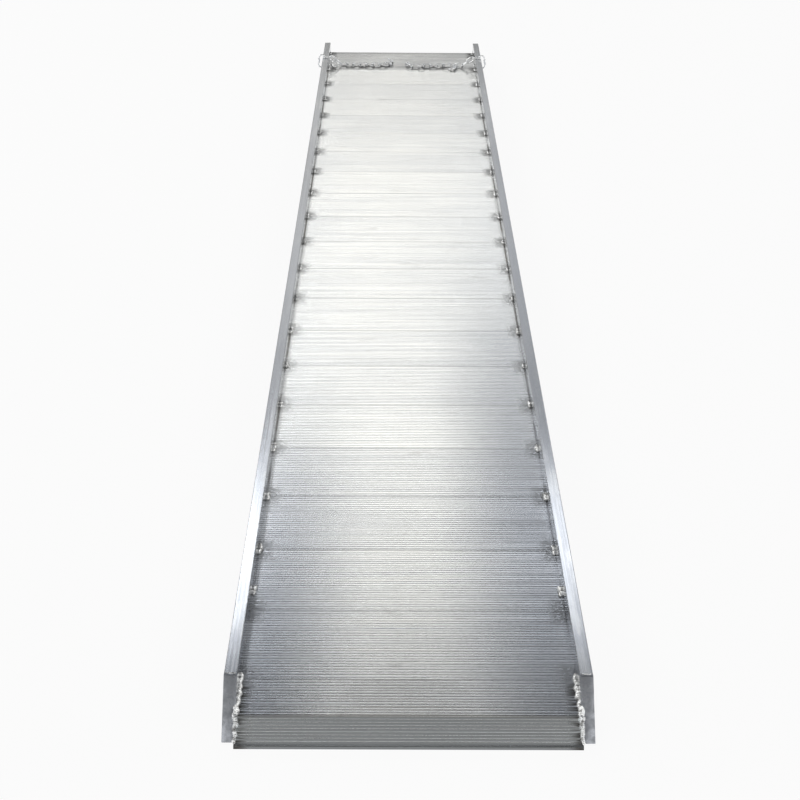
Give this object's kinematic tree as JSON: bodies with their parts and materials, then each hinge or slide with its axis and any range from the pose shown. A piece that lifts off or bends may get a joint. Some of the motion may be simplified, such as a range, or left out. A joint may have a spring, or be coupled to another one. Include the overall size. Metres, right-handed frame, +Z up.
{
  "type": "hook style walk ramp",
  "caption": "Straight aluminium walk ramp: ribbed deck planks between channel side rails, plate hooks under one end, sloped toe, safety chains.",
  "frame": {"origin": "middle of the footprint, on the ground", "axes": "+X across the ramp, +Y up the ramp from the toe to the hooked end, +Z up"},
  "size_m": [0.7608, 4.3272, 0.1049],
  "materials": {
    "deck_aluminium": "mill finish, extruded ribs",
    "rail_aluminium": "mill finish, welded",
    "zinc_steel": "bright zinc plate"
  },
  "bodies": {
    "ramp": {"deck_plank_01": "deck_aluminium", "deck_plank_02": "deck_aluminium", "deck_plank_03": "deck_aluminium", "deck_plank_04": "deck_aluminium", "deck_plank_05": "deck_aluminium", "deck_plank_06": "deck_aluminium", "deck_plank_07": "deck_aluminium", "deck_plank_08": "deck_aluminium", "deck_plank_09": "deck_aluminium", "deck_plank_10": "deck_aluminium", "deck_plank_11": "deck_aluminium", "deck_plank_12": "deck_aluminium", "deck_plank_13": "deck_aluminium", "deck_plank_14": "deck_aluminium", "deck_plank_15": "deck_aluminium", "deck_plank_16": "deck_aluminium", "deck_plank_17": "deck_aluminium", "deck_plank_18": "deck_aluminium", "deck_plank_19": "deck_aluminium", "hook_cross_bar": "deck_aluminium", "left_ramp_hook": "rail_aluminium", "left_side_rail": "rail_aluminium", "left_toe_end_plate": "rail_aluminium", "right_ramp_hook": "rail_aluminium", "right_side_rail": "rail_aluminium", "right_toe_end_plate": "rail_aluminium", "toe_plank": "deck_aluminium", "top_plate": "deck_aluminium"},
    "left_quick_link": {"left_quick_link": "zinc_steel", "left_quick_link_nut": "zinc_steel"},
    "left_chain_link_01": {"left_chain_link_01": "zinc_steel"},
    "left_chain_link_02": {"left_chain_link_02": "zinc_steel"},
    "left_chain_link_03": {"left_chain_link_03": "zinc_steel"},
    "left_chain_link_04": {"left_chain_link_04": "zinc_steel"},
    "left_chain_link_05": {"left_chain_link_05": "zinc_steel"},
    "left_chain_link_06": {"left_chain_link_06": "zinc_steel"},
    "left_chain_link_07": {"left_chain_link_07": "zinc_steel"},
    "left_chain_link_08": {"left_chain_link_08": "zinc_steel"},
    "left_chain_link_09": {"left_chain_link_09": "zinc_steel"},
    "left_chain_link_10": {"left_chain_link_10": "zinc_steel"},
    "left_chain_link_11": {"left_chain_link_11": "zinc_steel"},
    "left_chain_link_12": {"left_chain_link_12": "zinc_steel"},
    "left_chain_link_13": {"left_chain_link_13": "zinc_steel"},
    "left_slip_hook": {"left_slip_hook": "zinc_steel"},
    "right_quick_link": {"right_quick_link": "zinc_steel", "right_quick_link_nut": "zinc_steel"},
    "right_chain_link_01": {"right_chain_link_01": "zinc_steel"},
    "right_chain_link_02": {"right_chain_link_02": "zinc_steel"},
    "right_chain_link_03": {"right_chain_link_03": "zinc_steel"},
    "right_chain_link_04": {"right_chain_link_04": "zinc_steel"},
    "right_chain_link_05": {"right_chain_link_05": "zinc_steel"},
    "right_chain_link_06": {"right_chain_link_06": "zinc_steel"},
    "right_chain_link_07": {"right_chain_link_07": "zinc_steel"},
    "right_chain_link_08": {"right_chain_link_08": "zinc_steel"},
    "right_chain_link_09": {"right_chain_link_09": "zinc_steel"},
    "right_chain_link_10": {"right_chain_link_10": "zinc_steel"},
    "right_chain_link_11": {"right_chain_link_11": "zinc_steel"},
    "right_chain_link_12": {"right_chain_link_12": "zinc_steel"},
    "right_chain_link_13": {"right_chain_link_13": "zinc_steel"},
    "right_slip_hook": {"right_slip_hook": "zinc_steel"}
  },
  "joints": [
    {"name": "left_quick_link_swing", "type": "hinge", "parent": "ramp", "child": "left_quick_link", "pos_m": [-0.3583, 1.8706, 0.08926], "axis": [0, -1, 0], "range_deg": [0, 18]},
    {"name": "left_chain_link_01_turn", "type": "hinge", "parent": "left_quick_link", "child": "left_chain_link_01", "pos_m": [-0.34827, 1.8706, 0.0917], "axis": [0, 0, 1], "range_deg": [-8, 8]},
    {"name": "left_chain_link_02_turn", "type": "hinge", "parent": "left_chain_link_01", "child": "left_chain_link_02", "pos_m": [-0.32046, 1.87521, 0.0917], "axis": [0, 0, 1], "range_deg": [0, 12]},
    {"name": "left_chain_link_03_lift", "type": "hinge", "parent": "left_chain_link_02", "child": "left_chain_link_03", "pos_m": [-0.298, 1.88081, 0.07424], "axis": [0.2756, -0.9613, 0], "range_deg": [0, 35]},
    {"name": "left_chain_link_04_turn", "type": "hinge", "parent": "left_chain_link_03", "child": "left_chain_link_04", "pos_m": [-0.27558, 1.88724, 0.05701], "axis": [0, 0, -1], "range_deg": [-25, 12]},
    {"name": "left_chain_link_05_lift", "type": "hinge", "parent": "left_chain_link_04", "child": "left_chain_link_05", "pos_m": [-0.24671, 1.88925, 0.0551], "axis": [0.0698, 0.9976, 0], "range_deg": [-35, 0]},
    {"name": "left_chain_link_06_turn", "type": "hinge", "parent": "left_chain_link_05", "child": "left_chain_link_06", "pos_m": [-0.2178, 1.88723, 0.05402], "axis": [0, 0, 1], "range_deg": [-25, 25]},
    {"name": "left_chain_link_07_lift", "type": "hinge", "parent": "left_chain_link_06", "child": "left_chain_link_07", "pos_m": [-0.18891, 1.88976, 0.05402], "axis": [-0.1045, -0.9945, 0], "range_deg": [0, 35]},
    {"name": "left_chain_link_08_turn", "type": "hinge", "parent": "left_chain_link_07", "child": "left_chain_link_08", "pos_m": [-0.16007, 1.88673, 0.05402], "axis": [0, 0, -1], "range_deg": [-25, 25]},
    {"name": "left_chain_link_09_lift", "type": "hinge", "parent": "left_chain_link_08", "child": "left_chain_link_09", "pos_m": [-0.13111, 1.88825, 0.05402], "axis": [0.1392, 0.9903, 0], "range_deg": [-35, 0]},
    {"name": "left_chain_link_10_turn", "type": "hinge", "parent": "left_chain_link_09", "child": "left_chain_link_10", "pos_m": [-0.10239, 1.88421, 0.05402], "axis": [0, 0, 1], "range_deg": [-25, 25]},
    {"name": "left_chain_link_11_lift", "type": "hinge", "parent": "left_chain_link_10", "child": "left_chain_link_11", "pos_m": [-0.07402, 1.89024, 0.05402], "axis": [0.6691, -0.7431, 0], "range_deg": [0, 35]},
    {"name": "left_chain_link_12_turn", "type": "hinge", "parent": "left_chain_link_11", "child": "left_chain_link_12", "pos_m": [-0.05247, 1.90965, 0.05402], "axis": [0, 0, -1], "range_deg": [-20, 20]},
    {"name": "left_chain_link_13_lift", "type": "hinge", "parent": "left_chain_link_12", "child": "left_chain_link_13", "pos_m": [-0.04546, 1.93778, 0.05402], "axis": [-0.9272, -0.3746, 0], "range_deg": [-35, 0]},
    {"name": "left_slip_hook_swing", "type": "hinge", "parent": "left_chain_link_01", "child": "left_slip_hook", "pos_m": [-0.3169, 1.86529, 0.0917], "axis": [-0.309, -0.9511, 0], "range_deg": [0, 60]},
    {"name": "right_quick_link_swing", "type": "hinge", "parent": "ramp", "child": "right_quick_link", "pos_m": [0.3583, 1.8706, 0.08926], "axis": [0, 1, 0], "range_deg": [0, 18]},
    {"name": "right_chain_link_01_turn", "type": "hinge", "parent": "right_quick_link", "child": "right_chain_link_01", "pos_m": [0.34827, 1.8706, 0.0917], "axis": [0, 0, 1], "range_deg": [-8, 8]},
    {"name": "right_chain_link_02_turn", "type": "hinge", "parent": "right_chain_link_01", "child": "right_chain_link_02", "pos_m": [0.31927, 1.8706, 0.0917], "axis": [0, 0, 1], "range_deg": [-25, 25]},
    {"name": "right_chain_link_03_lift", "type": "hinge", "parent": "right_chain_link_02", "child": "right_chain_link_03", "pos_m": [0.29625, 1.87302, 0.07424], "axis": [0.1392, 0.9903, 0], "range_deg": [0, 35]},
    {"name": "right_chain_link_04_turn", "type": "hinge", "parent": "right_chain_link_03", "child": "right_chain_link_04", "pos_m": [0.27315, 1.87627, 0.05701], "axis": [0, 0, -1], "range_deg": [-25, 25]},
    {"name": "right_chain_link_05_turn", "type": "hinge", "parent": "right_chain_link_04", "child": "right_chain_link_05", "pos_m": [0.24463, 1.87831, 0.05978], "axis": [0, 0, 1], "range_deg": [-25, 25]},
    {"name": "right_chain_link_06_lift", "type": "hinge", "parent": "right_chain_link_05", "child": "right_chain_link_06", "pos_m": [0.21601, 1.88182, 0.0568], "axis": [-0.0349, 0.9994, 0], "range_deg": [0, 25]},
    {"name": "right_chain_link_07_turn", "type": "hinge", "parent": "right_chain_link_06", "child": "right_chain_link_07", "pos_m": [0.18705, 1.88081, 0.0555], "axis": [0, 0, -1], "range_deg": [-25, 25]},
    {"name": "right_chain_link_08_lift", "type": "hinge", "parent": "right_chain_link_07", "child": "right_chain_link_08", "pos_m": [0.15831, 1.87728, 0.05402], "axis": [-0.0698, -0.9976, 0], "range_deg": [-35, 0]},
    {"name": "right_chain_link_09_turn", "type": "hinge", "parent": "right_chain_link_08", "child": "right_chain_link_09", "pos_m": [0.12938, 1.87931, 0.05402], "axis": [0, 0, 1], "range_deg": [-25, 25]},
    {"name": "right_chain_link_10_lift", "type": "hinge", "parent": "right_chain_link_09", "child": "right_chain_link_10", "pos_m": [0.10053, 1.87628, 0.05402], "axis": [-0.4695, 0.8829, 0], "range_deg": [0, 35]},
    {"name": "right_chain_link_11_turn", "type": "hinge", "parent": "right_chain_link_10", "child": "right_chain_link_11", "pos_m": [0.07493, 1.86266, 0.05402], "axis": [0, 0, -1], "range_deg": [-15, 25]},
    {"name": "right_chain_link_12_lift", "type": "hinge", "parent": "right_chain_link_11", "child": "right_chain_link_12", "pos_m": [0.04637, 1.8677, 0.05402], "axis": [-0.7193, -0.6947, 0], "range_deg": [-35, 0]},
    {"name": "right_chain_link_13_turn", "type": "hinge", "parent": "right_chain_link_12", "child": "right_chain_link_13", "pos_m": [0.02622, 1.88856, 0.05402], "axis": [0, 0, 1], "range_deg": [-20, 20]},
    {"name": "right_slip_hook_swing", "type": "hinge", "parent": "right_chain_link_04", "child": "right_slip_hook", "pos_m": [0.24133, 1.87841, 0.05255], "axis": [0, 0, 1], "range_deg": [-15, 45]}
  ]
}
